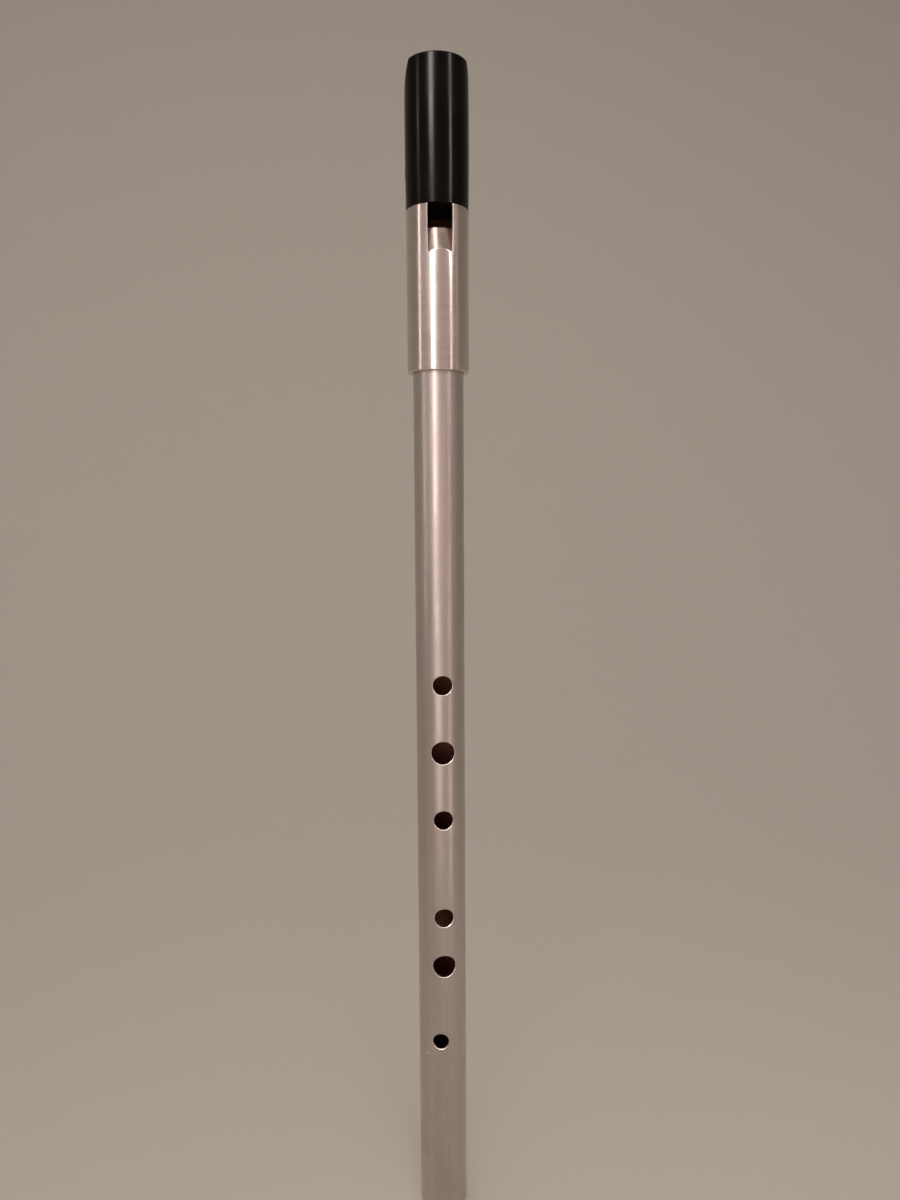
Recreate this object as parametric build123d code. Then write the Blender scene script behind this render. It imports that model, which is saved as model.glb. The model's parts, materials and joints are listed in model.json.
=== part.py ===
# A tunable low D whistle. An aluminium body tube with six finger holes slides in the
# socket of a head, which is a sleeve, an inner head tube, a black mouthpiece barrel, a
# fipple block and a retaining screw. Millimetres. The foot of the body tube stands on
# Z = 0, +Z runs up the bore's axis to the mouthpiece, and the window and the finger
# holes face -Y.

import os

from build123d import *

# Body tube: one inch outside, 16 gauge wall.
BODY_RADIUS = 12.7
WALL = 1.6
BORE_RADIUS = BODY_RADIUS - WALL
BODY_LENGTH = 492.0
TUBE_END_ROUND = 0.4

# Finger holes, from the foot up: height of the centre, drill size, and how far the hole
# is turned round the tube, in degrees. A negative turn is towards -X.
FINGER_HOLES = [
    (100.0, 8.5, -10.0),
    (142.5, 12.0, 0.0),
    (169.5, 10.0, 0.0),
    (223.0, 10.0, 0.0),
    (259.0, 12.0, 0.0),
    (294.5, 10.0, 0.0),
]
HOLE_EDGE_ROUND = 0.35

# Heights of the head's features above the foot.
SLEEVE_FOOT = 452.0
HEAD_TUBE_FOOT = 500.0
BLADE_HEIGHT = 519.5
SHOULDER = 530.0
SCREW_HEIGHT = 546.5
HEAD_TUBE_TOP = 556.0
TIP = 598.0

# Head sleeve. Its lower part is the tuning socket, with two ring grooves in the bore.
SLEEVE_RADIUS = 15.5
SLEEVE_FOOT_ROUND = 0.6
SHOULDER_CHAMFER = 0.2
SOCKET_RADIUS = BODY_RADIUS + 0.06
RING_HEIGHTS = {"o_ring_lower": 460.0, "o_ring_upper": 475.0}
RING_THICKNESS = 1.45
RING_INNER_RADIUS = BODY_RADIUS + 0.03
GROOVE_WIDTH = 1.9
GROOVE_RADIUS = RING_INNER_RADIUS + RING_THICKNESS + 0.05

# Window, ramp and blade. The windway is as high as the head tube's wall is thick.
WINDOW_WIDTH = 12.0
RAMP_LENGTH = 11.0
BLADE_RADIUS = BORE_RADIUS + 0.25
SLOT_CHAMFER = 0.35

# Mouthpiece barrel: a slight swell towards the tip, and a beak cut flat from the back.
BARREL_FOOT_RADIUS = 15.5
BARREL_SWELL_RADIUS = 15.75
BARREL_TIP_RADIUS = 15.55
SWELL_HEIGHT = 578.0
BEAK_TIP_THICKNESS = 9.7
BEAK_HEEL = 557.0
TIP_ROUND = 0.9

# Retaining screw: an M4 set screw beside the windway, sunk below the surface.
SCREW_RADIUS = 2.0
SCREW_OUTER_END = 14.5
SCREW_INNER_END = 9.0
SCREW_POINT = 0.8
HEXAGON_FLATS = 2.0
HEXAGON_DEPTH = 2.0
SINK_RADIUS = 2.45
SINK_DEPTH = 0.45


def turned(outline):
    """The solid that a lathe makes of an outline of (radius, height) points."""
    edge = Polyline(*[(radius, 0, height) for radius, height in outline], close=True)
    return revolve(make_face(edge), Axis.Z)


def pipe(inner, outer, low, high):
    """A plain tube between two heights."""
    return turned([(inner, low), (outer, low), (outer, high), (inner, high)])


def rims(solid, radius, height):
    """The solid's circular edges of that radius at that height."""
    circles = solid.edges().filter_by(GeomType.CIRCLE)
    return [e for e in circles if abs(e.radius - radius) < 0.01 and abs(e.arc_center.Z - height) < 0.01]


def front_block(width, low, high):
    """A block between two heights, from in front of the head back to inside the bore."""
    front, back = -2 * SLEEVE_RADIUS, -BORE_RADIUS / 2
    return Pos(0, (front + back) / 2, (low + high) / 2) * Box(width, back - front, high - low)


def screw_rod(radius, inner_end, outer_end):
    """A rod along the retaining screw's axis, between two distances from the bore's axis."""
    middle = (inner_end + outer_end) / 2
    return Pos(-middle, 0, SCREW_HEIGHT) * Rot(0, 90, 0) * Cylinder(radius, outer_end - inner_end)


def distance_from_axis(edge):
    """How far the middle of an edge lies from the bore's axis."""
    point = edge @ 0.5
    return (point.X**2 + point.Y**2) ** 0.5


def body_tube():
    """The long tube, with six drilled holes and the sharp rims taken off."""
    tube = pipe(BORE_RADIUS, BODY_RADIUS, 0, BODY_LENGTH)
    ends = [rim for z in (0, BODY_LENGTH) for r in (BORE_RADIUS, BODY_RADIUS) for rim in rims(tube, r, z)]
    tube = fillet(ends, TUBE_END_ROUND)
    for height, drill, turn in FINGER_HOLES:
        drilling = Pos(0, -BODY_RADIUS, height) * Rot(90, 0, 0) * Cylinder(drill / 2, BODY_RADIUS)
        tube -= Rot(0, 0, turn) * drilling
    hole_rims = [e for e in tube.edges() if e.geom_type not in (GeomType.LINE, GeomType.CIRCLE)]
    return fillet([e for e in hole_rims if distance_from_axis(e) > BODY_RADIUS - WALL / 2], HOLE_EDGE_ROUND)


def window_cut(top):
    """What is cut away for the ramp, and for the slot from the blade up to top."""
    low = Vector(0, -SLEEVE_RADIUS, BLADE_HEIGHT - RAMP_LENGTH)
    high = Vector(0, -BLADE_RADIUS, BLADE_HEIGHT)
    along = (high - low).normalized()
    inward = Vector(1, 0, 0).cross(along) * -1
    centre = (low + high) * 0.5 + inward * BLADE_RADIUS
    under_ramp = Plane(origin=centre, z_dir=along) * Cylinder(BLADE_RADIUS, 6 * RAMP_LENGTH)
    ramp = front_block(WINDOW_WIDTH, BLADE_HEIGHT - 2 * RAMP_LENGTH, BLADE_HEIGHT) - under_ramp
    return ramp + front_block(WINDOW_WIDTH, BLADE_HEIGHT, top)


def head_sleeve():
    """The head's outer sleeve: the tuning socket below, and the slot over the window above."""
    outline = [(SLEEVE_RADIUS, SLEEVE_FOOT), (SLEEVE_RADIUS, SHOULDER), (BODY_RADIUS, SHOULDER)]
    outline += [(BODY_RADIUS, HEAD_TUBE_FOOT), (SOCKET_RADIUS, HEAD_TUBE_FOOT)]
    for height in sorted(RING_HEIGHTS.values(), reverse=True):
        top, bottom = height + GROOVE_WIDTH / 2, height - GROOVE_WIDTH / 2
        outline += [(SOCKET_RADIUS, top), (GROOVE_RADIUS, top)]
        outline += [(GROOVE_RADIUS, bottom), (SOCKET_RADIUS, bottom)]
    sleeve = turned(outline + [(SOCKET_RADIUS, SLEEVE_FOOT)])
    foot = rims(sleeve, SLEEVE_RADIUS, SLEEVE_FOOT) + rims(sleeve, SOCKET_RADIUS, SLEEVE_FOOT)
    sleeve = fillet(foot, SLEEVE_FOOT_ROUND)
    sleeve = chamfer(rims(sleeve, SLEEVE_RADIUS, SHOULDER), SHOULDER_CHAMFER)
    sleeve -= window_cut(SHOULDER + 1)
    upright = sleeve.edges().filter_by(Axis.Z).filter_by(lambda edge: edge.length > RAMP_LENGTH / 2)
    return chamfer([e for e in upright if distance_from_axis(e) > SLEEVE_RADIUS - 0.01], SLOT_CHAMFER)


def head_tube():
    """The head's inner tube. It carries the blade, and its slot runs on up as the windway."""
    tube = pipe(BORE_RADIUS, BODY_RADIUS, HEAD_TUBE_FOOT, HEAD_TUBE_TOP)
    return tube - window_cut(HEAD_TUBE_TOP + 1) - screw_rod(SCREW_RADIUS, SCREW_INNER_END, BODY_RADIUS + 1)


def mouthpiece_shape():
    """The outer shape of barrel and block together: turned, then cut flat to leave the beak."""
    c = SHOULDER_CHAMFER
    foot = (BARREL_FOOT_RADIUS, 0, SHOULDER + c)
    tip = (BARREL_TIP_RADIUS, 0, TIP)
    side = ThreePointArc(foot, (BARREL_SWELL_RADIUS, 0, SWELL_HEIGHT), tip)
    ends = Polyline(tip, (0, 0, TIP), (0, 0, SHOULDER), (BARREL_FOOT_RADIUS - c, 0, SHOULDER), foot)
    shape = revolve(make_face(side + ends), Axis.Z)
    lip = Vector(0, BEAK_TIP_THICKNESS - BARREL_TIP_RADIUS, TIP)
    heel = Vector(0, BARREL_SWELL_RADIUS, BEAK_HEEL)
    across = Vector(1, 0, 0)
    beak = Plane(origin=(lip + heel) * 0.5, x_dir=across, z_dir=across.cross(heel - lip))
    size = TIP - BEAK_HEEL
    shape -= beak * Pos(0, 0, size) * Box(size, 2 * size, 2 * size)
    return fillet([e for e in shape.edges() if e.center().Z > HEAD_TUBE_TOP and e.length > size / 2], TIP_ROUND)


def mouthpiece_barrel():
    """The black barrel over the head tube, with the windway's roof, the beak and the screw hole."""
    barrel = mouthpiece_shape() - pipe(0, BODY_RADIUS, SHOULDER, HEAD_TUBE_TOP)
    barrel -= pipe(0, BORE_RADIUS, HEAD_TUBE_TOP, TIP)
    barrel -= pipe(0, BODY_RADIUS, HEAD_TUBE_TOP, TIP) & front_block(WINDOW_WIDTH, HEAD_TUBE_TOP, TIP)
    barrel -= screw_rod(SCREW_RADIUS, BORE_RADIUS, SLEEVE_RADIUS + 1)
    sink = Cone(SINK_RADIUS + SINK_DEPTH, SINK_RADIUS - SINK_DEPTH, 2 * SINK_DEPTH)
    return barrel - Pos(-BARREL_FOOT_RADIUS, 0, SCREW_HEIGHT) * Rot(0, 90, 0) * sink


def fipple_block():
    """The plug that stops the head and makes the windway's floor, flush with the beak."""
    block = mouthpiece_shape() & pipe(0, BORE_RADIUS, SHOULDER, TIP)
    return block - screw_rod(SCREW_RADIUS, SCREW_INNER_END, BODY_RADIUS)


def retaining_screw():
    """The set screw, with a hexagon socket in its outer end and a blunt point in the block."""
    screw = screw_rod(SCREW_RADIUS, SCREW_INNER_END, SCREW_OUTER_END)
    inner_rim = screw.edges().filter_by(GeomType.CIRCLE).sort_by(Axis.X)[-1]
    screw = chamfer(inner_rim, SCREW_POINT)
    socket = extrude(RegularPolygon(HEXAGON_FLATS / 2, 6, major_radius=False), HEXAGON_DEPTH)
    return screw - Pos(-SCREW_OUTER_END, 0, SCREW_HEIGHT) * Rot(0, 90, 0) * socket


def o_ring(height):
    """One seal of the tuning slide, in its groove round the body tube."""
    half = RING_THICKNESS / 2
    return Pos(0, 0, height) * Torus(RING_INNER_RADIUS + half, half)


def whistle():
    """Every piece of the whistle, by name."""
    pieces = {
        "body_tube": body_tube(),
        "head_sleeve": head_sleeve(),
        "head_tube": head_tube(),
        "mouthpiece_barrel": mouthpiece_barrel(),
        "fipple_block": fipple_block(),
        "retaining_screw": retaining_screw(),
    }
    return pieces | {name: o_ring(height) for name, height in RING_HEIGHTS.items()}


def main():
    os.makedirs("parts", exist_ok=True)
    for name, piece in whistle().items():
        export_step(piece, f"parts/{name}.step")
        print(name, round(piece.volume), "mm3")


main()
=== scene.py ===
# Low whistle in D: fine meshes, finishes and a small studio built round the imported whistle.
# Metres, in the same frame as the CAD: foot of the tube on z = 0, bore along +Z, window to -Y.

import json
import math
from collections import Counter

import bpy
from mathutils import Matrix, Vector


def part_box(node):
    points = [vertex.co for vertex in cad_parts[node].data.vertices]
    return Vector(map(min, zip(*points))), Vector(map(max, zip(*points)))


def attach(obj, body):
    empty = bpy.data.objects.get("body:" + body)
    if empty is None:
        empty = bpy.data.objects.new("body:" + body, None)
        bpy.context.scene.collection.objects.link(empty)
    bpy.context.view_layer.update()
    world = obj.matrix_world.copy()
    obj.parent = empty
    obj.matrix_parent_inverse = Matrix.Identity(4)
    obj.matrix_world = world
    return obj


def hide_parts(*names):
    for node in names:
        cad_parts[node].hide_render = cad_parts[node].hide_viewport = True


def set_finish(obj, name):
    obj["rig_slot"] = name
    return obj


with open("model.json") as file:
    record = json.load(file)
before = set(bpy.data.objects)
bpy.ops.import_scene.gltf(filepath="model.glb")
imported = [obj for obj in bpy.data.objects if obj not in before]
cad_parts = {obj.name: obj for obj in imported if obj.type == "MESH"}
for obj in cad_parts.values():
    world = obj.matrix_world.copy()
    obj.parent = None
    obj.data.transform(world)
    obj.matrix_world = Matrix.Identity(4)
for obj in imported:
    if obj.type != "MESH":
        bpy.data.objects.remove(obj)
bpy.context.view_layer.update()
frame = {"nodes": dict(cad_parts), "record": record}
nodes = frame["nodes"]
scene = bpy.context.scene
openings = {o["name"]: o["box_m"] for o in frame["record"]["physics"]["openings"]}
mm = 0.001
cornersPerMetre = 1e7  # corners less than about a ten-thousandth of a millimetre apart are one
print("frame loaded:", ", ".join(sorted(nodes)))


def directionTo(azimuth, elevation=0.0):
    # from the whistle towards a lamp or the camera, in degrees; azimuth 0 is in front, at -Y
    a, e = math.radians(azimuth), math.radians(elevation)
    return Vector((math.sin(a) * math.cos(e), -math.cos(a) * math.cos(e), math.sin(e)))


def facing(direction):
    # a lamp or camera turned so that it looks along direction, upright
    return direction.to_track_quat("-Z", "Y")


# camera: held at arm's length, a little above the middle of the whistle

cameraSetup = {
    "azimuth": -6.0,
    "elevation": 6.63,
    "roll": 0.31,
    "distance": 0.4505,  # to the bore's axis
    "aimHeight": 0.3372,  # where it looks on the axis
    "aimRight": 0.00526,  # and how far right of the axis
    "lens": 26.01,
    "sensor": 36.0,
    "clip": (0.01, 50),
}


def makeCamera(setup):
    data = bpy.data.cameras.new("arm_length_camera")
    data.lens, data.sensor_width = setup["lens"], setup["sensor"]
    data.clip_start, data.clip_end = setup["clip"]
    camera = bpy.data.objects.new("arm_length_camera", data)
    scene.collection.objects.link(camera)
    back = directionTo(setup["azimuth"], setup["elevation"])
    turn = facing(-back)
    toTheRight = turn @ Vector((setup["aimRight"], 0, 0))
    camera.location = Vector((0, 0, setup["aimHeight"])) + back * setup["distance"] + toTheRight
    roll = Matrix.Rotation(math.radians(-setup["roll"]), 4, "Z").to_quaternion()
    camera.rotation_mode = "QUATERNION"
    camera.rotation_quaternion = turn @ roll
    scene.camera = camera


makeCamera(cameraSetup)
print("camera placed")

# mesh making: pieces are woven from rings of (point, normal), so every highlight runs true


def spread(first, last, count):
    # even values from first to last, count steps apart
    return [first + (last - first) * i / count for i in range(count + 1)]


def middleHeight(low, high):
    # half-way up a box
    return (low[2] + high[2]) / 2


def startMesh():
    return {"index": {}, "points": [], "faces": [], "normals": []}


def addFace(made, corners):
    # corners meet their neighbours by place; the face turns to agree with their normals
    face, normals = [], []
    for point, normal in corners:
        key = tuple(round(c * cornersPerMetre) for c in point)
        at = made["index"].setdefault(key, len(made["points"]))
        if at == len(made["points"]):
            made["points"].append(tuple(point))
        if at not in face:
            face.append(at)
            normals.append(Vector(normal).normalized())
    if len(face) < 3:
        return
    places = [Vector(made["points"][i]) for i in face]
    across = Vector((0, 0, 0))
    for i, place in enumerate(places):
        across += place.cross(places[(i + 1) % len(places)])
    if across.dot(sum(normals, Vector((0, 0, 0)))) < 0:
        face.reverse()
        normals.reverse()
    made["faces"].append(face)
    made["normals"] += normals


def weave(made, first, second, closed=False):
    # quads between two rows of (point, normal)
    count = len(first)
    for i in range(count if closed else count - 1):
        j = (i + 1) % count
        addFace(made, [first[i], first[j], second[j], second[i]])


def pairsOf(face):
    # the face's edges, each as its two corners in rising order
    return [(min(a, b), max(a, b)) for a, b in zip(face, face[1:] + face[:1])]


def closeSeams(made, reach=0.001 * mm, clear=0.001):
    # where a long edge runs past its neighbours' corners, its face takes those corners in;
    # reach is how near the edge they are, and clear a share of it left out at each end
    points = [Vector(p) for p in made["points"]]
    shared = Counter(pair for face in made["faces"] for pair in pairsOf(face))
    loose = sorted({i for pair, uses in shared.items() if uses == 1 for i in pair})
    faces, normals, done = [], [], 0
    for face in made["faces"]:
        own = made["normals"][done:done + len(face)]
        done += len(face)
        whole = []
        for i, pair in enumerate(pairsOf(face)):
            j = (i + 1) % len(face)
            whole.append(face[i])
            normals.append(own[i])
            if shared[pair] > 1:
                continue
            start, along = points[face[i]], points[face[j]] - points[face[i]]
            shares = [((points[k] - start).dot(along) / along.length_squared, k) for k in loose]
            for share, k in sorted(shares):
                onEdge = (start + along * share - points[k]).length < reach
                if onEdge and clear < share < 1 - clear:
                    whole.append(k)
                    normals.append(own[i].lerp(own[j], share))
        faces.append(whole)
    made["faces"], made["normals"] = faces, normals


def placeMesh(made, name):
    mesh = bpy.data.meshes.new(name)
    mesh.from_pydata(made["points"], [], made["faces"])
    mesh.normals_split_custom_set([tuple(n) for n in made["normals"]])
    placed = bpy.data.objects.new(name, mesh)
    scene.collection.objects.link(placed)
    return placed


def finishMesh(made, name, body, slotName, replaced):
    closeSeams(made)
    piece = placeMesh(made, name)
    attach(piece, body)
    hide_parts(replaced)
    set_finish(piece, slotName)
    print(name, "has", len(piece.data.polygons), "faces")
    return piece


def outward(turn):
    # level direction away from the bore's axis; turn is in radians from the front, towards +X
    return Vector((math.sin(turn), -math.cos(turn), 0))


def fullTurn(count):
    return [2 * math.pi * i / count for i in range(count)]


def circle(radius, height, turns, normalOut=1.0, normalUp=0.0):
    # one ring about the bore's axis, with its normals leaning by the two shares
    ring = []
    for turn in turns:
        out = outward(turn)
        normal = out * normalOut + Vector((0, 0, normalUp))
        ring.append((out * radius + Vector((0, 0, height)), normal))
    return ring


def skinSpot(radius, turn, height):
    return circle(radius, height, [turn])[0][0]


def latheProfile(made, profile, turns):
    # profile: (radius, height, normalOut, normalUp) pairs, each pair one band round the axis
    for (lowRadius, low, *lowNormal), (highRadius, high, *highNormal) in profile:
        lower = circle(lowRadius, low, turns, *lowNormal)
        weave(made, lower, circle(highRadius, high, turns, *highNormal), True)


def quarterRound(radius, height, size, out, up, steps=4):
    # bands of a rounded edge, from the level face to the upright one; out and up are +1 or -1
    rings = []
    for lean in spread(0, math.pi / 2, steps):
        level, rise = math.sin(lean), math.cos(lean)
        ringRadius, ringHeight = radius - out * size * (1 - level), height - up * size * (1 - rise)
        rings.append((ringRadius, ringHeight, out * level, up * rise))
    return list(zip(rings, rings[1:]))


# body tube: six drilled holes with their rims broken, in a woven tube

tubeSetup = {
    "wall": 1.6 * mm,
    "endRound": 0.4 * mm,
    "rimRound": 0.35 * mm,
    "rimSteps": 4,
    "columns": 108,  # faces round the tube
    "patchColumns": 12,  # to each side of a hole
    "patchRows": 12,
    "patchHeight": 18 * mm,
    "longRow": 14 * mm,  # about how high the rows between the patches are
    "topRows": 14,
    # drill size, and columns that the hole is turned round the tube
    "holes": {
        "finger_hole_6": (8.5 * mm, -3),
        "finger_hole_5": (12 * mm, 0),
        "finger_hole_4": (10 * mm, 0),
        "finger_hole_3": (10 * mm, 0),
        "finger_hole_2": (12 * mm, 0),
        "finger_hole_1": (10 * mm, 0),
    },
}
ringShares = (1, 0.7, 0.42, 0.18, 0)  # rings from a patch's edge in to its hole


def rowHeights(setup, low, high):
    # rows up the tube: even inside each hole's patch, long ones between the patches
    heights, patchRows = [low], setup["patchRows"]
    for name in sorted(setup["holes"], reverse=True):
        foot = middleHeight(*openings[name]) - setup["patchHeight"] / 2
        parts = max(1, round((foot - heights[-1]) / setup["longRow"]))
        heights += spread(heights[-1], foot, parts)[1:-1]
        heights += [foot + setup["patchHeight"] * i / patchRows for i in range(patchRows + 1)]
    return heights + spread(heights[-1], high, setup["topRows"])[1:]


def patchEdge(setup):
    # (columns, height) steps once round a patch's edge, from its middle
    wide, rows, high = setup["patchColumns"], setup["patchRows"], setup["patchHeight"]
    right = [(wide, high * (i / rows - 0.5)) for i in range(rows)]
    top = [(wide - i, high / 2) for i in range(2 * wide)]
    left = [(-wide, high * (0.5 - i / rows)) for i in range(rows)]
    bottom = [(i - wide, -high / 2) for i in range(2 * wide)]
    return right + top + left + bottom


def addHolePatch(made, setup, middle, drill, column, outerRadius, innerRadius):
    step = 2 * math.pi / setup["columns"]
    turned, half, rim = column * step, drill / 2, setup["rimRound"]
    spin = Matrix.Rotation(turned, 3, "Z")
    edge = patchEdge(setup)
    ways = [math.atan2(up, outerRadius * columns * step) for columns, up in edge]

    def skinRing(radius, reach, share, side):
        # from the hole's edge, share 0, out to the patch's edge, share 1, on a round skin
        ring = []
        for (columns, up), way in zip(edge, ways):
            hole = math.asin(reach * math.cos(way) / radius)
            turn = hole + (columns * step - hole) * share
            height = middle + reach * math.sin(way) * (1 - share) + up * share
            out = outward(turn + turned)
            ring.append((out * radius + Vector((0, 0, height)), out * side))
        return ring

    def drilledRing(reach, radius, depth, lean):
        # round the drill, depth below a round skin; lean turns the normals from the skin to the wall
        ring = []
        for way in ways:
            x, z = reach * math.cos(way), reach * math.sin(way)
            y = -math.sqrt(radius ** 2 - x ** 2)
            wall = Vector((math.cos(way), 0, math.sin(way)))
            normal = Vector((x, y, 0)) / radius * math.cos(lean) - wall * math.sin(lean)
            place = spin @ Vector((x, y + depth, 0)) + Vector((0, 0, middle + z))
            ring.append((place, spin @ normal))
        return ring

    rimRings = []
    for lean in spread(0, math.pi / 2, setup["rimSteps"]):
        reach, depth = half + rim * (1 - math.sin(lean)), rim * (1 - math.cos(lean))
        rimRings.append(drilledRing(reach, outerRadius, depth, lean))
    outside = [skinRing(outerRadius, half + rim, share, 1) for share in ringShares]
    inside = [skinRing(innerRadius, half, share, -1) for share in reversed(ringShares)]
    wallEnd = drilledRing(half, innerRadius, 0, math.pi / 2)
    for rings in (outside, rimRings, [rimRings[-1], wallEnd], inside):
        for first, second in zip(rings, rings[1:]):
            weave(made, first, second, True)


def makeBodyTube(setup):
    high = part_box("body_tube")[1]
    outerRadius, length = high.x, high.z
    innerRadius, edge = outerRadius - setup["wall"], setup["endRound"]
    count = setup["columns"]
    turns = fullTurn(count)
    made = startMesh()
    heights = rowHeights(setup, edge, length - edge)
    patches = []
    for name, (drill, column) in setup["holes"].items():
        middle = middleHeight(*openings[name])
        patches.append((middle, column))
        addHolePatch(made, setup, middle, drill, column, outerRadius, innerRadius)
    for radius, side in ((outerRadius, 1), (innerRadius, -1)):
        for below, above in zip(heights, heights[1:]):
            lower, upper = circle(radius, below, turns, side), circle(radius, above, turns, side)
            middle, reach = (below + above) / 2, setup["patchHeight"] / 2
            inPatch = [column for place, column in patches if abs(middle - place) < reach]
            for i in range(count):
                away = [(i - c + 0.5 + count / 2) % count - count / 2 for c in inPatch]
                if not any(abs(w) < setup["patchColumns"] for w in away):
                    j = (i + 1) % count
                    addFace(made, [lower[i], lower[j], upper[j], upper[i]])
    for height, up in ((0.0, -1), (length, 1)):
        bands = [((innerRadius + edge, height, 0, up), (outerRadius - edge, height, 0, up))]
        bands += quarterRound(outerRadius, height, edge, 1, up)
        bands += quarterRound(innerRadius, height, edge, -1, up)
        latheProfile(made, bands, turns)
    return finishMesh(made, "fine_body_tube", "body", "satin_aluminium", "body_tube")


bodyTube = makeBodyTube(tubeSetup)

# window: the ramp is a round-backed cut that rises to the blade, through sleeve and head tube

windowSetup = {
    "halfWidth": 6 * mm,
    "rampLength": 11 * mm,
    "bladeHeight": 519.5 * mm,
    "bladeRadius": 11.35 * mm,
    "boreRadius": 11.1 * mm,
    "headTubeRadius": 12.7 * mm,
    "slotChamfer": 0.35 * mm,
    "rampLip": 0.045,  # share of the ramp that is rubbed round at its foot
    "rampFootGap": 2 * mm,  # how far below the ramp the skin's rows stop
    "slotClear": 0.02,  # radians that the head tube's skins stay clear of the slot
    "shoulderChamfer": 0.2 * mm,
    "footRound": 0.6 * mm,
    "socketRadius": 12.76 * mm,
    "grooveRadius": 14.23 * mm,
    "grooveWidth": 1.9 * mm,
    "across": 16,  # faces across the ramp
    "round": 100,  # faces round the rest
    "rowsBelow": 5,  # rows of skin below the ramp
    "rowsBehind": 6,  # and behind the slot, where no screw's hole is set in
    "footSteps": 6,  # bands of the sleeve's rounded foot
}
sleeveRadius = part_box("head_sleeve")[1].x
rampRise = Vector((0, sleeveRadius - windowSetup["bladeRadius"], windowSetup["rampLength"])).normalized()
rampIn = Vector((0, rampRise.z, -rampRise.y))
rampAcross = [
    windowSetup["halfWidth"] * (2 * i / windowSetup["across"] - 1)
    for i in range(windowSetup["across"] + 1)
]


def rampSag(x):
    # how far the ramp's round back has dropped, x away from its middle
    return windowSetup["bladeRadius"] - math.sqrt(windowSetup["bladeRadius"] ** 2 - x ** 2)


def rampSpot(x, along):
    # (point, normal) on the ramp, x across it and along it from its foot in the middle
    foot = Vector((x, -sleeveRadius, windowSetup["bladeHeight"] - windowSetup["rampLength"]))
    lean = math.asin(x / windowSetup["bladeRadius"])
    normal = Vector((math.sin(lean), 0, 0)) - rampIn * math.cos(lean)
    return foot + rampRise * along + rampIn * rampSag(x), normal


def rampAtRadius(x, radius):
    # how far along the ramp it meets a round skin
    return (sleeveRadius - math.sqrt(radius ** 2 - x ** 2) - rampIn.y * rampSag(x)) / rampRise.y


def rampAtBlade(x):
    # how far along the ramp the blade's edge is
    return (windowSetup["rampLength"] - rampIn.z * rampSag(x)) / rampRise.z


def slottedTurns(radius, clear, screwHole=None):
    # angles round a skin: across the slot, then round the back, clear of the slot's edges
    edge = math.asin(windowSetup["halfWidth"] / radius)
    front = [math.asin(x / radius) for x in rampAcross]
    first, last = edge + clear, 2 * math.pi - edge - clear
    if not screwHole:
        return front, spread(first, last, windowSetup["round"])
    middle, wide = screwHole["turned"], screwHole["patchColumns"]
    kept = [2 * math.pi * (middle + i) / screwHole["columns"] for i in range(-wide, wide + 1)]
    before = spread(first, kept[0], screwHole["before"])[:-1]
    return front, before + kept + spread(kept[-1], last, screwHole["after"])[1:]


def addBackSkin(made, radius, side, low, top, back, screwHole=None):
    # a round skin behind the slot, left open where the screw's hole is set in
    rows, foot, high = spread(low, top, windowSetup["rowsBehind"]), 0, 0
    if screwHole:
        foot, high = (screwHole["middle"] + screwHole["patchHeight"] * share for share in (-0.5, 0.5))
        rows = spread(low, foot, screwHole["rowsBelow"])
        rows += spread(foot, high, screwHole["patchRows"])[1:] + [top]
    for below, above in zip(rows, rows[1:]):
        lower, upper = circle(radius, below, back, side), circle(radius, above, back, side)
        parts = [slice(0, None)]
        if foot < (below + above) / 2 < high:
            before = screwHole["before"]
            parts = [slice(0, before + 1), slice(before + 2 * screwHole["patchColumns"], None)]
        for part in parts:
            weave(made, lower[part], upper[part])


def addSlottedSkin(made, radius, side, low, top, front, back, screwHole=None):
    # a round skin whose front stops at the ramp, and whose back goes up to top
    lowest = min(rampSpot(x, rampAtRadius(x, radius))[0].z for x in rampAcross)
    turns = front + back
    steps = spread(low, lowest - windowSetup["rampFootGap"], windowSetup["rowsBelow"])
    for below, above in zip(steps, steps[1:]):
        weave(made, circle(radius, below, turns, side), circle(radius, above, turns, side), True)
    rampFoot = []
    for x, turn in zip(rampAcross, front):
        rampFoot.append((rampSpot(x, rampAtRadius(x, radius))[0], outward(turn) * side))
    weave(made, circle(radius, steps[-1], front, side), rampFoot)
    weave(made, circle(radius, steps[-1], back, side), circle(radius, lowest, back, side))
    for corner, edge, beside in ((rampFoot[-1], front[-1], back[0]), (rampFoot[0], front[0], back[-1])):
        start = circle(radius, steps[-1], [edge, beside], side)
        addFace(made, [start[0], start[1], circle(radius, lowest, [beside], side)[0], corner])
    addBackSkin(made, radius, side, lowest, top, back, screwHole)
    return lowest


def addRamp(made, startRadius, endAlong, shares=(0, 0.25, 0.5, 0.75, 1), brokenFoot=False):
    # rows of the ramp between a round skin and each column's end
    rows = []
    for share in shares:
        row = []
        for x in rampAcross:
            start = rampAtRadius(x, startRadius)
            point, normal = rampSpot(x, start + (endAlong(x) - start) * share)
            if brokenFoot and share == 0:
                normal = Vector((point.x, point.y, 0))  # the ramp's foot is rubbed round
            row.append((point, normal))
        rows.append(row)
    for first, second in zip(rows, rows[1:]):
        weave(made, first, second)


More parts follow.
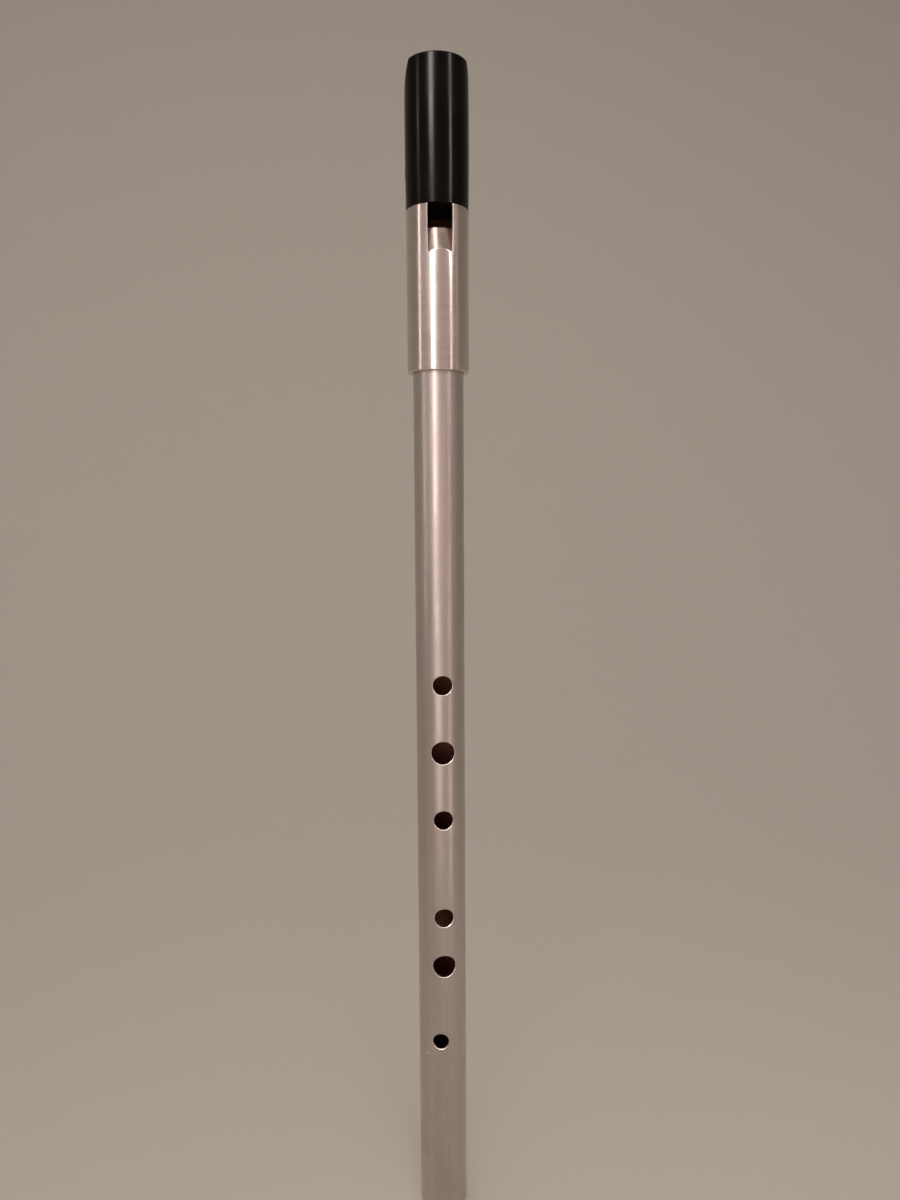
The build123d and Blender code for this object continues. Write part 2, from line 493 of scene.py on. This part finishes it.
def makeHeadSleeve(setup):
    low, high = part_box("head_sleeve")
    chamfer, shoulder, foot = setup["slotChamfer"], setup["shoulderChamfer"], setup["footRound"]
    inner, half, top = setup["headTubeRadius"], setup["halfWidth"], high.z
    made = startMesh()
    front, back = slottedTurns(sleeveRadius, chamfer / sleeveRadius)
    corner = addSlottedSkin(made, sleeveRadius, 1, low.z + foot, top - shoulder, front, back)
    # broken top edge, and the level face that the barrel sits on
    topRim = circle(sleeveRadius - shoulder, top, back, 1, 1)
    weave(made, circle(sleeveRadius, top - shoulder, back, 1, 1), topRim)
    innerFront, innerBack = slottedTurns(inner, chamfer / inner)
    flat = Vector((0, 0, 1))
    weave(made, [(p, flat) for p, n in topRim], circle(inner, top, innerBack, 0, 1))
    # slot walls and their chamfers, one each side
    wallFront = -math.sqrt(sleeveRadius ** 2 - half ** 2)
    chamferAlong = rampAtRadius(half, sleeveRadius) + chamfer / rampRise.y
    rampCorner = rampSpot(half, chamferAlong)[0]
    fromSkin = rampAtRadius(half, sleeveRadius)
    rampLong = rampAtRadius(half, inner) - fromSkin
    lipEnd = rampSpot(half, fromSkin + rampLong * setup["rampLip"])[0]
    rampBack = rampSpot(half, rampAtRadius(half, inner))[0]
    wallBack = -math.sqrt(inner ** 2 - half ** 2)
    for side, edgeTurn in ((1, back[0]), (-1, back[-1])):
        skin, wall = outward(edgeTurn), Vector((-side, 0, 0))
        x = half * side
        rim = [(skin * sleeveRadius + Vector((0, 0, z)), skin) for z in (corner, top - shoulder)]
        rim.append((skin * (sleeveRadius - shoulder) + Vector((0, 0, top)), skin))
        inside = [(Vector((x, wallFront + chamfer, z)), wall) for z in (rampCorner.z, top - shoulder, top)]
        lip = (Vector((x, lipEnd.y, lipEnd.z)), wall)
        addFace(made, [(Vector((x, wallFront, corner)), skin), rim[0], inside[0], lip])
        weave(made, rim, inside)
        behind = [(Vector((x, wallBack, z)), wall) for z in (top, rampBack.z)]
        addFace(made, [(p, wall) for p, n in inside] + behind)
        edge = skinSpot(inner, innerBack[0] if side > 0 else innerBack[-1], top)
        addFace(made, [(p, flat) for p in (rim[2][0], inside[2][0], behind[0][0], edge)])
    shares = (0, setup["rampLip"], (chamferAlong - fromSkin) / rampLong, 0.5, 0.75, 1)
    addRamp(made, sleeveRadius, lambda x: rampAtRadius(x, inner), shares, True)
    # inside: seat of the head tube, then the socket with its two ring grooves
    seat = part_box("head_tube")[0].z
    addSlottedSkin(made, inner, -1, seat, top, innerFront, innerBack)
    edges = ((half, innerFront[-1], innerBack[0]), (-half, innerFront[0], innerBack[-1]))
    for x, turnFront, turnBack in edges:
        strip = [Vector((x, wallBack, z)) for z in (rampBack.z, top)]
        strip += [skinSpot(inner, turnBack, z) for z in (top, rampBack.z)]
        addFace(made, [(p, outward(turnFront) * -1) for p in strip])
    turns = innerFront + innerBack
    socket, groove, wide = setup["socketRadius"], setup["grooveRadius"], setup["grooveWidth"]
    profile = [((inner, seat, 0, -1), (socket, seat, 0, -1))]
    height = seat
    for ring in ("o_ring_upper", "o_ring_lower"):
        middle = middleHeight(*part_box(ring))
        upper, lower = middle + wide / 2, middle - wide / 2
        profile.append(((socket, height, -1, 0), (socket, upper, -1, 0)))
        profile.append(((socket, upper, 0, -1), (groove, upper, 0, -1)))
        profile.append(((groove, upper, -1, 0), (groove, lower, -1, 0)))
        profile.append(((groove, lower, 0, 1), (socket, lower, 0, 1)))
        height = lower
    profile.append(((socket, height, -1, 0), (socket, low.z + foot, -1, 0)))
    profile += quarterRound(socket, low.z, foot, -1, -1)
    latheProfile(made, profile, turns)
    outerTurns = front + back
    footRing = circle(socket + foot, low.z, turns, 0, -1)
    weave(made, footRing, circle(sleeveRadius - foot, low.z, outerTurns, 0, -1), True)
    latheProfile(made, quarterRound(sleeveRadius, low.z, foot, 1, -1, setup["footSteps"]), outerTurns)
    return finishMesh(made, "fine_head_sleeve", "head", "polished_aluminium", "head_sleeve")


# the retaining screw's hole in the head tube, on the left
screwHoleSetup = {
    "drill": 4 * mm,
    "rimRound": 0.0,
    "rimSteps": 4,
    "columns": 108,
    "turned": 81,  # columns from the front to the left
    "before": 68,  # columns from the slot's right side round to the hole's patch
    "after": 20,  # and from the patch on to the slot's left side
    "rowsBelow": 3,  # rows of skin between the ramp and the patch
    "patchColumns": 6,
    "patchRows": 6,
    "patchHeight": 8 * mm,
    "middle": middleHeight(*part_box("retaining_screw")),
}


def makeHeadTube(setup, hole):
    low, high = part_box("head_tube")
    inner, outer, half = setup["boreRadius"], setup["headTubeRadius"], setup["halfWidth"]
    made = startMesh()
    front, back = slottedTurns(outer, setup["slotClear"], hole)
    innerFront, innerBack = slottedTurns(inner, setup["slotClear"], hole)
    addSlottedSkin(made, outer, 1, low.z, high.z, front, back, hole)
    addHolePatch(made, hole, hole["middle"], hole["drill"], hole["turned"], outer, inner)
    addRamp(made, outer, rampAtBlade)
    # the blade's end, and the bore below it
    flat = Vector((0, 0, 1))
    blade = [(rampSpot(x, rampAtBlade(x))[0], flat) for x in rampAcross]
    weave(made, blade, circle(inner, setup["bladeHeight"], innerFront, 0, 1))
    turns = innerFront + innerBack
    weave(made, circle(inner, low.z, turns, -1), circle(inner, setup["bladeHeight"], turns, -1), True)
    addBackSkin(made, inner, -1, setup["bladeHeight"], high.z, innerBack, hole)
    weave(made, circle(outer, low.z, front + back, 0, -1), circle(inner, low.z, turns, 0, -1), True)
    weave(made, circle(outer, high.z, back, 0, 1), circle(inner, high.z, innerBack, 0, 1))
    # slot walls, and the narrow strips beside them
    outerY, innerY = -math.sqrt(outer ** 2 - half ** 2), -math.sqrt(inner ** 2 - half ** 2)
    foot = rampSpot(half, rampAtRadius(half, outer))[0].z
    for side in (1, -1):
        x, wall = half * side, Vector((-side, 0, 0))
        bladeEnd = blade[-1 if side > 0 else 0][0]
        spots = [Vector((x, outerY, foot)), bladeEnd, Vector((x, innerY, setup["bladeHeight"]))]
        spots += [Vector((x, innerY, high.z)), Vector((x, outerY, high.z))]
        addFace(made, [(p, wall) for p in spots])
        backTurn, innerTurn = (back[0], innerBack[0]) if side > 0 else (back[-1], innerBack[-1])
        strip = [spots[0], spots[4]] + [skinSpot(outer, backTurn, z) for z in (high.z, foot)]
        addFace(made, [(p, Vector((p.x, p.y, 0))) for p in strip])
        strip = [spots[2], spots[3]]
        strip += [skinSpot(inner, innerTurn, z) for z in (high.z, setup["bladeHeight"])]
        addFace(made, [(p, Vector((-p.x, -p.y, 0))) for p in strip])
        ends = [skinSpot(inner, innerTurn, high.z), skinSpot(outer, backTurn, high.z)]
        addFace(made, [(p, flat) for p in [spots[4], spots[3]] + ends])
    return finishMesh(made, "fine_head_tube", "head", "drawn_aluminium", "head_tube")


headSleeve = makeHeadSleeve(windowSetup)
headTube = makeHeadTube(windowSetup, screwHoleSetup)

# studio: a round sweep of pale paper, tall strip lamps that draw the streaks, soft light above

studioSetup = {
    "sweepRadius": 2.4,
    "sweepHeight": 2.6,
    "sweepBend": 2.0,
    "sweepColumns": 96,
    "bendRows": 16,
    "floorRings": (0.001, 0.1),
    "bendGap": 0.01,  # level ring just before the bend
    "paperColor": (0.56, 0.52, 0.48, 1),
    "paperShade": 0.985,  # its darker patches against that
    "worldColor": (1.0, 0.93, 0.86, 1),
    "worldStrength": 0.22,
    "lampDistance": 1.25,
    "nearDistance": 0.35,
    # name: azimuth, width, foot, top, brightness, colour
    "strips": {
        "key_strip_low": (-23, 0.24, 0.20, 0.97, 3.9, (1.0, 0.88, 0.85)),
        "key_strip_middle": (-24, 0.26, 0.97, 1.08, 10.0, (1.0, 0.91, 0.92)),
        "key_strip_high": (-25, 0.30, 1.08, 1.70, 31.0, (1.0, 0.91, 0.92)),
        "left_strip_low": (-75, 0.07, 0.20, 0.74, 3.2, (1.0, 0.84, 0.80)),
        "left_strip_middle": (-75, 0.07, 0.74, 1.00, 4.1, (1.0, 0.84, 0.80)),
        "left_strip_high": (-75, 0.07, 1.00, 1.20, 12.0, (1.0, 0.90, 0.88)),
        "soft_left": (-48, 0.85, 0.20, 1.30, 0.17, (1.0, 0.80, 0.76)),
        "key_glow": (-13, 0.35, 0.20, 1.00, 0.16, (1.0, 0.84, 0.80)),
        "right_strip_low": (44, 0.07, 0.20, 0.88, 3.1, (1.0, 0.80, 0.73)),
        "right_strip_high": (44, 0.08, 0.88, 1.60, 27.0, (1.0, 0.90, 0.87)),
        "far_right_strip": (68, 0.12, 0.20, 1.20, 0.4, (1.0, 0.80, 0.72)),
        "soft_front_low": (6, 1.10, 0.20, 0.50, 0.46, (1.0, 0.76, 0.66)),
        "soft_front_high": (4, 1.30, 0.50, 1.90, 0.24, (1.0, 0.72, 0.62)),
        "back_strip": (174, 0.26, 0.50, 1.70, 2.5, (1.0, 0.90, 0.87)),
    },
    # small strips close in front, which carry the streaks on down the tube
    "nearStrips": {
        "key_strip_foot": (-13, 0.125, 0.10, 0.285, 1.05, (1.0, 0.80, 0.74)),
        "right_strip_foot": (39, 0.034, 0.04, 0.335, 1.5, (1.0, 0.80, 0.73)),
    },
    # place, aim, width, height, brightness, colour, beam in degrees: these also light the paper
    "softLamps": {
        "top_lamp": ((-0.1, 0.0, 2.35), (-0.1, 0.0, 0.0), 1.5, 1.5, 2.5, (1.0, 0.93, 0.87), 180),
        "key_top": ((-0.42, -0.95, 2.05), (0.0, 0.0, 0.5), 0.30, 0.70, 3.4, (1.0, 0.86, 0.80), 180),
        "front_pool": ((0.05, -0.8, 1.0), (0.05, -0.45, 0.0), 0.50, 0.50, 1.0, (1.0, 0.92, 0.86), 70),
        "back_wash": ((0.0, 0.8, 2.3), (0.0, 2.2, 0.8), 1.3, 1.3, 1.5, (1.0, 0.93, 0.87), 180),
    },
}


def addLamp(name, place, aim, width, height, brightness, color):
    data = bpy.data.lights.new(name, "AREA")
    data.shape, data.size, data.size_y = "RECTANGLE", width, height
    data.energy, data.color = brightness * math.pi * width * height, color
    lamp = bpy.data.objects.new(name, data)
    scene.collection.objects.link(lamp)
    lamp.location = place
    lamp.rotation_mode = "QUATERNION"
    lamp.rotation_quaternion = facing(aim - place)
    lamp.visible_camera = False
    return lamp


def makeSweep(setup):
    # floor, bend and wall in one skin, from the middle out
    radius, bend = setup["sweepRadius"], setup["sweepBend"]
    profile = [(r, 0.0) for r in (*setup["floorRings"], radius - bend - setup["bendGap"])]
    for lean in spread(0, math.pi / 2, setup["bendRows"]):
        profile.append((radius - bend + bend * math.sin(lean), bend - bend * math.cos(lean)))
    profile.append((radius, setup["sweepHeight"]))
    turns = fullTurn(setup["sweepColumns"])
    made = startMesh()
    rings = []
    for r, z in profile:
        lean = max(0.0, min(1.0, (r - radius + bend) / bend))
        rise = math.sqrt(1 - lean * lean) + 1e-6  # never quite level
        rings.append(circle(r, z, turns, -lean, rise))
    for low, high in zip(rings, rings[1:]):
        weave(made, low, high, True)
    sweep = placeMesh(made, "paper_sweep")
    return sweep


def makeStudio(setup):
    for reach, kind in (("lampDistance", "strips"), ("nearDistance", "nearStrips")):
        for name, (azimuth, width, foot, top, brightness, color) in setup[kind].items():
            place = directionTo(azimuth) * setup[reach] + Vector((0, 0, (foot + top) / 2))
            lamp = addLamp(name, place, Vector((0, 0, place.z)), width, top - foot, brightness, color)
            lamp.visible_diffuse = False  # a strip only shows as a streak, and leaves no pool of light
    for name, (place, aim, width, height, brightness, color, beam) in setup["softLamps"].items():
        lamp = addLamp(name, Vector(place), Vector(aim), width, height, brightness, color)
        lamp.data.spread = math.radians(beam)
    world = bpy.data.worlds.new("studio_air")
    world.use_nodes = True
    background = world.node_tree.nodes["Background"]
    background.inputs["Color"].default_value = setup["worldColor"]
    background.inputs["Strength"].default_value = setup["worldStrength"]
    scene.world = world
    scene.view_settings.view_transform = "Standard"
    return makeSweep(setup)


paperSweep = makeStudio(studioSetup)
lampCount = sum(len(studioSetup[kind]) for kind in ("strips", "nearStrips", "softLamps"))
print("studio lit with", lampCount, "lamps")

# shader building blocks


def addNode(tree, kind, inputs=None, **settings):
    made = tree.nodes.new("ShaderNode" + kind)
    for name, value in settings.items():
        setattr(made, name, value)
    for name, value in (inputs or {}).items():
        if isinstance(value, bpy.types.NodeSocket):
            tree.links.new(value, made.inputs[name])
        else:
            made.inputs[name].default_value = value
    return made


def combine(tree, first, second, how="ADD"):
    return addNode(tree, "Math", {0: first, 1: second}, operation=how).outputs[0]


def times(tree, first, second):
    return combine(tree, first, second, "MULTIPLY")


def sizeOf(tree, value):
    return addNode(tree, "Math", {0: value}, operation="ABSOLUTE").outputs[0]


def remap(tree, value, fromLow, fromHigh, toLow=0.0, toHigh=1.0):
    inputs = {"Value": value, "From Min": fromLow, "From Max": fromHigh}
    inputs |= {"To Min": toLow, "To Max": toHigh}
    return addNode(tree, "MapRange", inputs, interpolation_type="SMOOTHSTEP").outputs[0]


def startGroup(name, inputs, outputs):
    tree = bpy.data.node_groups.new(name, "ShaderNodeTree")
    kind = "NodeSocketFloat"
    for label, value in inputs.items():
        tree.interface.new_socket(label, in_out="INPUT", socket_type=kind).default_value = value
    for label in outputs:
        tree.interface.new_socket(label, in_out="OUTPUT", socket_type=kind)
    return tree, tree.nodes.new("NodeGroupInput").outputs, tree.nodes.new("NodeGroupOutput").inputs


def placeGroup(tree, group, **values):
    made = tree.nodes.new("ShaderNodeGroup")
    made.node_tree = group
    for name, value in values.items():
        made.inputs[name.replace("_", " ")].default_value = value
    return made.outputs


def stretchedNoise(tree, across, along, shift, detail):
    # noise in the whistle's own metres, stretched along the bore or round it
    place = addNode(tree, "TexCoord").outputs["Object"]
    scale = addNode(tree, "CombineXYZ", {"X": across, "Y": across, "Z": along}).outputs[0]
    stretched = addNode(tree, "VectorMath", {0: place, 1: scale}, operation="MULTIPLY").outputs[0]
    offset = addNode(tree, "CombineXYZ", {"X": shift, "Y": shift, "Z": shift}).outputs[0]
    moved = addNode(tree, "VectorMath", {0: stretched, 1: offset}, operation="ADD").outputs[0]
    inputs = {"Vector": moved, "Scale": 1.0, "Detail": detail, "Roughness": 0.6}
    return addNode(tree, "TexNoise", inputs).outputs[0]


marksSetup = {
    # ranges are the noise values between which a mark fades in
    "fineRange": (0.25, 0.75),
    "broadRange": (0.3, 0.7),
    "broadGrain": 0.22,  # broad marks for each fine one
    "broadShift": 7.3,  # moves the broad marks off the fine ones
    "smudgeRange": (0.46, 0.66),
    "smudgeStretch": 0.55,
    "scratchShift": 3.1,
    "scratchWidth": 0.005,  # share of the noise on each side of its middle
    "scratchAreas": (60.0, 22.0),  # how often scratched areas come, round and along the bore
    "scratchRange": (0.54, 0.64),
    "bandNoise": 400.0,  # ragged spots per metre of a rim
}


def makeGrainGroup(setup):
    # tool or drawing marks: Across and Along are marks per metre round and along the bore
    inputs = {"Across": 1500.0, "Along": 20.0, "Shift": 0.0}
    tree, given, out = startGroup("tool grain", inputs, ["Fine", "Broad"])
    fine = stretchedNoise(tree, given["Across"], given["Along"], given["Shift"], 3.0)
    wideAcross = times(tree, given["Across"], setup["broadGrain"])
    wideAlong = times(tree, given["Along"], setup["broadGrain"])
    shift = combine(tree, given["Shift"], setup["broadShift"])
    broad = stretchedNoise(tree, wideAcross, wideAlong, shift, 2.0)
    tree.links.new(remap(tree, fine, *setup["fineRange"]), out["Fine"])
    tree.links.new(remap(tree, broad, *setup["broadRange"]), out["Broad"])
    return tree


def makeHandlingGroup(setup):
    # finger smudges, and hairline scratches that run mostly along the bore
    inputs = {"Smudges": 55.0, "Scratches": 130.0, "Scratch Stretch": 0.12, "Shift": 0.0}
    tree, given, out = startGroup("handling marks", inputs, ["Smudge", "Scratch"])
    alongSmudge = times(tree, given["Smudges"], setup["smudgeStretch"])
    cloud = stretchedNoise(tree, given["Smudges"], alongSmudge, given["Shift"], 4.0)
    tree.links.new(remap(tree, cloud, *setup["smudgeRange"]), out["Smudge"])
    alongScratch = times(tree, given["Scratches"], given["Scratch Stretch"])
    shift = combine(tree, given["Shift"], setup["scratchShift"])
    lines = stretchedNoise(tree, given["Scratches"], alongScratch, shift, 0.0)
    thin = remap(tree, sizeOf(tree, combine(tree, lines, -0.5)), 0.0, setup["scratchWidth"], 1.0, 0.0)
    areas = stretchedNoise(tree, *setup["scratchAreas"], shift, 1.0)
    where = remap(tree, areas, *setup["scratchRange"])
    tree.links.new(times(tree, thin, where), out["Scratch"])
    return tree


def makeBandGroup(setup):
    # a mask round the bore's axis at one height, ragged by a little noise, for rubbed edges
    tree, given, out = startGroup("edge band", {"Height": 0.0, "Width": 0.001}, ["Mask"])
    place = addNode(tree, "TexCoord").outputs["Object"]
    height = addNode(tree, "SeparateXYZ", {0: place}).outputs["Z"]
    away = sizeOf(tree, combine(tree, height, given["Height"], "SUBTRACT"))
    share = combine(tree, away, given["Width"], "DIVIDE")
    noise = stretchedNoise(tree, setup["bandNoise"], setup["bandNoise"], 1.7, 2.0)
    ragged = combine(tree, share, combine(tree, noise, -0.5))
    tree.links.new(remap(tree, ragged, 0.25, 1.0, 1.0, 0.0), out["Mask"])
    return tree


def makeBoreGroup():
    # a mask of everything nearer the axis than Radius: bores stay dull and dark, their dark colour being
    # painted shade
    tree, given, out = startGroup("bore shade", {"Radius": 0.0113}, ["Mask"])
    place = addNode(tree, "TexCoord").outputs["Object"]
    flat = addNode(tree, "VectorMath", {0: place, 1: (1.0, 1.0, 0.0)}, operation="MULTIPLY").outputs[0]
    reach = addNode(tree, "VectorMath", {0: flat}, operation="LENGTH").outputs["Value"]
    tree.links.new(combine(tree, reach, given["Radius"], "LESS_THAN"), out["Mask"])
    return tree


grainGroup = makeGrainGroup(marksSetup)
handlingGroup = makeHandlingGroup(marksSetup)
bandGroup = makeBandGroup(marksSetup)
boreGroup = makeBoreGroup()
print("shader groups made")


def startMaterial(name, **constants):
    # constants are set on the shader's own sockets
    material = bpy.data.materials.new(name)
    material.use_nodes = True
    tree = material.node_tree
    shader = tree.nodes["Principled BSDF"]
    for label, value in constants.items():
        shader.inputs[label.replace("_", " ")].default_value = value
    return material, tree, shader


def blend(tree, share, first, second):
    mixed = addNode(tree, "Mix", data_type="RGBA")
    for socket, value in ((mixed.inputs[0], share), (mixed.inputs[6], first), (mixed.inputs[7], second)):
        if isinstance(value, bpy.types.NodeSocket):
            tree.links.new(value, socket)
        else:
            socket.default_value = value
    return mixed.outputs[2]


def addBump(tree, shader, height, strength, depth):
    bump = addNode(tree, "Bump", {"Height": height, "Strength": strength, "Distance": depth})
    tree.links.new(bump.outputs[0], shader.inputs["Normal"])


def addTurnedSheen(tree, shader):
    # highlights stretch round the bore or along it
    tangent = addNode(tree, "Tangent", direction_type="RADIAL", axis="Z")
    tree.links.new(tangent.outputs[0], shader.inputs["Tangent"])


# finishes, one for each of the record's material slots

reliefSetup = {"strength": 0.5, "depth": 0.02 * mm}


def roughFrom(tree, grain, marks, setup):
    # the finish's own roughness, with its grain and smudges on it
    grainRough = times(tree, grain["Fine"], setup["grainRough"])
    rough = combine(tree, setup["roughness"], grainRough)
    return combine(tree, rough, times(tree, marks["Smudge"], setup["smudgeRough"]))


def addRelief(tree, shader, grain, marks, setup):
    # grain stands up a little, and scratches cut in
    raised = times(tree, grain["Fine"], setup["bump"])
    relief = combine(tree, raised, times(tree, marks["Scratch"], -setup["scratchBump"]))
    addBump(tree, shader, relief, reliefSetup["strength"], reliefSetup["depth"])


metalSetup = {
    # across and along are grain marks per metre; edges are (height, width) of the rubbed rims
    "satin_aluminium": {
        "bright": (0.59, 0.53, 0.505, 1), "dull": (0.49, 0.43, 0.405, 1), "roughness": 0.27,
        "grainRough": 0.07, "smudgeRough": 0.07, "across": 1700.0, "along": 14.0,
        "anisotropy": 0.25, "bump": 0.10, "scratchBump": 0.35,
        "edges": ((0.0, 1.2 * mm), (0.492, 1.2 * mm)),
        # the holes' rims take a painted highlight: their cut colour is much brighter than the tube
        "cutRadius": 12.67 * mm, "cutTintAndGlint": (0.92, 0.86, 0.83, 1), "cutRough": -0.08,
        # the bore's colour is painted shade, dark where little light gets in
        "boreRadius": 11.2 * mm, "paintedBoreShade": (0.30, 0.13, 0.10, 1),
    },
    "polished_aluminium": {
        "bright": (0.71, 0.635, 0.605, 1), "dull": (0.60, 0.53, 0.50, 1), "roughness": 0.17,
        "grainRough": 0.04, "smudgeRough": 0.07, "across": 30.0, "along": 2300.0,
        "anisotropy": 0.2, "bump": 0.05, "scratchBump": 0.3,
        "edges": ((0.452, 0.9 * mm), (0.530, 0.5 * mm)),
        "cutRadius": 15.3 * mm, "cutTintAndGlint": (0.64, 0.495, 0.45, 1), "cutRough": 0.0,
        "boreRadius": 11.2 * mm, "paintedBoreShade": (0.10, 0.045, 0.035, 1),
    },
    "drawn_aluminium": {
        "bright": (0.70, 0.57, 0.52, 1), "dull": (0.60, 0.47, 0.43, 1), "roughness": 0.18,
        "grainRough": 0.05, "smudgeRough": 0.06, "across": 900.0, "along": 60.0,
        "anisotropy": 0.1, "bump": 0.15, "scratchBump": 0.3,
        "edges": ((0.5195, 0.5 * mm),),
        "cutRadius": 12.6 * mm, "cutTintAndGlint": (0.64, 0.495, 0.45, 1), "cutRough": 0.0,
        "boreRadius": 11.2 * mm, "paintedBoreShade": (0.10, 0.045, 0.035, 1),
    },
}


metalWear = {
    "grainShade": 0.35,  # how far the grain and the smudges darken the metal
    "smudgeShade": 0.45,
    "rimColor": (0.84, 0.78, 0.74, 1),
    "rimShare": 0.6,
    "rimRough": -0.05,
    "boreRough": 0.3,
}


def makeMetal(name, setup, wear):
    material, tree, shader = startMaterial(name, Metallic=1.0, Anisotropic=setup["anisotropy"])
    grain = placeGroup(tree, grainGroup, Across=setup["across"], Along=setup["along"], Shift=2.0)
    marks = placeGroup(tree, handlingGroup, Shift=len(name) * 1.9)  # its own part of the noise
    shade = times(tree, grain["Broad"], wear["grainShade"])
    shade = combine(tree, shade, times(tree, marks["Smudge"], wear["smudgeShade"]))
    color = blend(tree, shade, setup["bright"], setup["dull"])
    rough = roughFrom(tree, grain, marks, setup)
    for height, width in setup["edges"]:
        # rims are handled most, so they are brighter and smoother
        mask = placeGroup(tree, bandGroup, Height=height, Width=width)["Mask"]
        color = blend(tree, times(tree, mask, wear["rimShare"]), color, wear["rimColor"])
        rough = combine(tree, rough, times(tree, mask, wear["rimRough"]))
    # faces cut into the skin: on the body tube the holes' rims are painted bright, a painted highlight
    # standing in for the lamps' glint on them; the ramp is left as milled
    cut = placeGroup(tree, boreGroup, Radius=setup["cutRadius"])["Mask"]
    color = blend(tree, cut, color, setup["cutTintAndGlint"])
    rough = combine(tree, rough, times(tree, cut, setup["cutRough"]))
    # painted shade: everything inside the bore is coloured dark in place of the shade there
    bore = placeGroup(tree, boreGroup, Radius=setup["boreRadius"])["Mask"]
    color = blend(tree, bore, color, setup["paintedBoreShade"])
    rough = combine(tree, rough, times(tree, bore, wear["boreRough"]))
    tree.links.new(color, shader.inputs["Base Color"])
    tree.links.new(rough, shader.inputs["Roughness"])
    addRelief(tree, shader, grain, marks, setup)
    addTurnedSheen(tree, shader)
    return material


plasticSetup = {
    "turned_acetal": {
        "dark": (0.0042, 0.0014, 0.0013, 1), "worn": (0.013, 0.008, 0.007, 1),
        "roughness": 0.165, "specular": 0.14, "grainRough": 0.04, "smudgeRough": 0.05,
        "across": 25.0, "along": 1900.0, "bump": 0.03,
        "scratchBump": 0.15, "edges": ((0.530, 0.5 * mm), (0.598, 1.1 * mm)),
    },
    "milled_acetal": {
        "dark": (0.0044, 0.0022, 0.0020, 1), "worn": (0.014, 0.009, 0.008, 1),
        "roughness": 0.22, "specular": 0.14, "grainRough": 0.06, "smudgeRough": 0.05,
        "across": 1100.0, "along": 120.0, "bump": 0.08,
        "scratchBump": 0.2, "edges": ((0.530, 0.3 * mm), (0.598, 0.8 * mm)),
    },
    "nitrile_rubber": {
        "dark": (0.010, 0.010, 0.010, 1), "worn": (0.030, 0.029, 0.028, 1),
        "roughness": 0.58, "specular": 0.4, "grainRough": 0.15, "smudgeRough": 0.12,
        "across": 1300.0, "along": 1300.0, "bump": 0.5,
        "scratchBump": 0.0, "edges": (),
    },
}


plasticWear = {
    "scratchShade": 0.7,  # how far scratches, grain and rims turn it to its worn colour
    "grainShade": 0.12,
    "rimShade": 0.5,
    "rimRough": 0.08,
    "smudges": 70.0,
}


def makePlastic(name, setup, wear):
    constants = {"Metallic": 0.0, "Specular_IOR_Level": setup["specular"]}
    material, tree, shader = startMaterial(name, **constants)
    grain = placeGroup(tree, grainGroup, Across=setup["across"], Along=setup["along"], Shift=4.0)
    marks = placeGroup(tree, handlingGroup, Smudges=wear["smudges"], Shift=len(name) * 2.3)
    worn = times(tree, marks["Scratch"], wear["scratchShade"])
    worn = combine(tree, worn, times(tree, grain["Broad"], wear["grainShade"]))
    rough = roughFrom(tree, grain, marks, setup)
    for height, width in setup["edges"]:
        mask = placeGroup(tree, bandGroup, Height=height, Width=width)["Mask"]
        worn = combine(tree, worn, times(tree, mask, wear["rimShade"]))
        rough = combine(tree, rough, times(tree, mask, wear["rimRough"]))
    tree.links.new(blend(tree, worn, setup["dark"], setup["worn"]), shader.inputs["Base Color"])
    tree.links.new(rough, shader.inputs["Roughness"])
    addRelief(tree, shader, grain, marks, setup)
    return material


steelSetup = {
    "oxide": (0.022, 0.021, 0.022, 1),
    "steel": (0.16, 0.15, 0.145, 1),
    "rubbed": 0.35,
    "roughness": (0.32, 0.5),
    "bump": (0.3, 0.01 * mm),  # strength and depth
}


def makeBlackenedSteel(setup):
    # black oxide, rubbed back to grey steel in places
    material, tree, shader = startMaterial("blackened_steel_finish", Metallic=1.0)
    grain = placeGroup(tree, grainGroup, Across=900.0, Along=900.0, Shift=1.0)
    marks = placeGroup(tree, handlingGroup, Smudges=900.0, Scratches=1600.0, Shift=9.0)
    rubbed = times(tree, marks["Smudge"], setup["rubbed"])
    color = blend(tree, rubbed, setup["oxide"], setup["steel"])
    tree.links.new(color, shader.inputs["Base Color"])
    rough = remap(tree, grain["Fine"], 0.0, 1.0, *setup["roughness"])
    tree.links.new(rough, shader.inputs["Roughness"])
    addBump(tree, shader, grain["Fine"], *setup["bump"])
    return material


def makePaper(setup):
    material, tree, shader = startMaterial("studio_paper", Roughness=0.9, Specular_IOR_Level=0.0)
    cloud = stretchedNoise(tree, 3.0, 3.0, 0.4, 3.0)
    darker = tuple(c * setup["paperShade"] for c in setup["paperColor"][:3]) + (1,)
    tree.links.new(blend(tree, cloud, setup["paperColor"], darker), shader.inputs["Base Color"])
    return material


finishes = {}
for name, setup in metalSetup.items():
    finishes[name] = makeMetal(name + "_finish", setup, metalWear)
for name, setup in plasticSetup.items():
    finishes[name] = makePlastic(name + "_finish", setup, plasticWear)
finishes["blackened_steel"] = makeBlackenedSteel(steelSetup)
for node in nodes.values():
    slotName = node.data.materials[0].name
    node.material_slots[0].material = finishes[slotName]
for piece in (bodyTube, headSleeve, headTube):
    piece.data.materials.append(finishes[piece["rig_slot"]])
paperSweep.data.materials.append(makePaper(studioSetup))
print("finishes:", ", ".join(sorted(finishes)))
